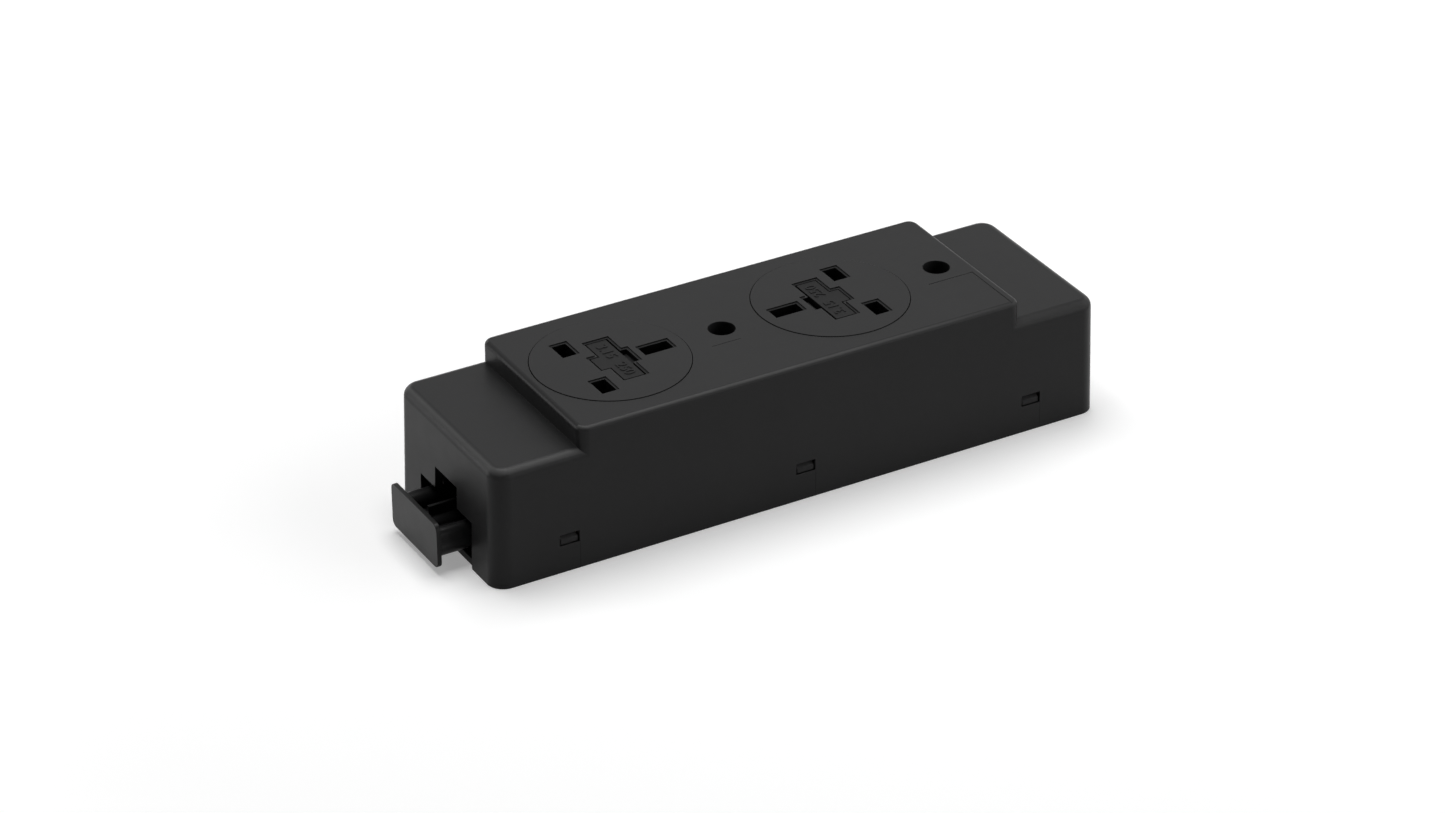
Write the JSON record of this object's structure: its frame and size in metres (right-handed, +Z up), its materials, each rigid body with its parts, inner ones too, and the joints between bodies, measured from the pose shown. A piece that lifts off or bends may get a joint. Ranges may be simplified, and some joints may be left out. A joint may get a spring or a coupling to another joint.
{
  "type": "under-desk power module",
  "caption": "Low black desk power module: raised socket deck with fused three-pin sockets, snap-in base cover and a plug-in connector in each end.",
  "frame": {"origin": "middle of the flat underside, which is screwed to the desk", "axes": "+X along the module towards the inlet end, +Y across it to the back, +Z up out of the sockets"},
  "size_m": [0.1999, 0.0574, 0.0422],
  "materials": {
    "housing_plastic": "fine textured satin black",
    "cover_plastic": "satin black",
    "insert_plastic": "fine textured satin black",
    "carrier_plastic": "satin black",
    "connector_plastic": "satin black",
    "cap_plastic": "satin black",
    "inner_plastic": "plain black",
    "brass": "stamped, bright",
    "spring_steel": "drawn wire",
    "plated_caps": "nickel plate",
    "fuse_glass": "clear"
  },
  "bodies": {
    "module": {"housing": "housing_plastic", "base_cover": "cover_plastic", "line_bar": "brass", "neutral_bar": "brass", "earth_bar": "brass", "outlet_connector": "connector_plastic", "inlet_connector": "connector_plastic", "socket_face_left": "insert_plastic", "socket_face_right": "insert_plastic", "socket_base_left": "inner_plastic", "socket_base_right": "inner_plastic", "shutter_spring_left": "spring_steel", "shutter_spring_right": "spring_steel", "line_contact_left": "brass", "line_contact_right": "brass", "neutral_contact_left": "brass", "neutral_contact_right": "brass", "earth_contact_left": "brass", "earth_contact_right": "brass", "feed_clip_left": "brass", "feed_clip_right": "brass", "outlet_contact_line": "brass", "inlet_pin_line": "brass", "outlet_contact_earth": "brass", "inlet_pin_earth": "brass", "outlet_contact_neutral": "brass", "inlet_pin_neutral": "brass"},
    "blanking_cap": {"blanking_cap": "cap_plastic"},
    "fuse_carrier_left": {"fuse_carrier_left": "carrier_plastic", "fuse_tube_left": "fuse_glass", "fuse_caps_left": "plated_caps"},
    "shutter_left": {"shutter_left": "inner_plastic"},
    "fuse_carrier_right": {"fuse_carrier_right": "carrier_plastic", "fuse_tube_right": "fuse_glass", "fuse_caps_right": "plated_caps"},
    "shutter_right": {"shutter_right": "inner_plastic"}
  },
  "joints": [
    {"name": "cap_pull", "type": "slide", "parent": "module", "child": "blanking_cap", "axis": [-1, 0, 0], "range_m": [0, 0.018]},
    {"name": "fuse_pull_left", "type": "slide", "parent": "module", "child": "fuse_carrier_left", "axis": [0, 0, 1], "range_m": [0, 0.008]},
    {"name": "shutter_slide_left", "type": "slide", "parent": "module", "child": "shutter_left", "axis": [-1, 0, 0], "range_m": [0, 0.0048], "stiffness_N_per_m": 60, "springref_m": -0.002, "deforming": ["shutter_spring_left"]},
    {"name": "fuse_pull_right", "type": "slide", "parent": "module", "child": "fuse_carrier_right", "axis": [0, 0, 1], "range_m": [0, 0.008]},
    {"name": "shutter_slide_right", "type": "slide", "parent": "module", "child": "shutter_right", "axis": [1, 0, 0], "range_m": [0, 0.0048], "stiffness_N_per_m": 60, "springref_m": -0.002, "deforming": ["shutter_spring_right"]}
  ]
}
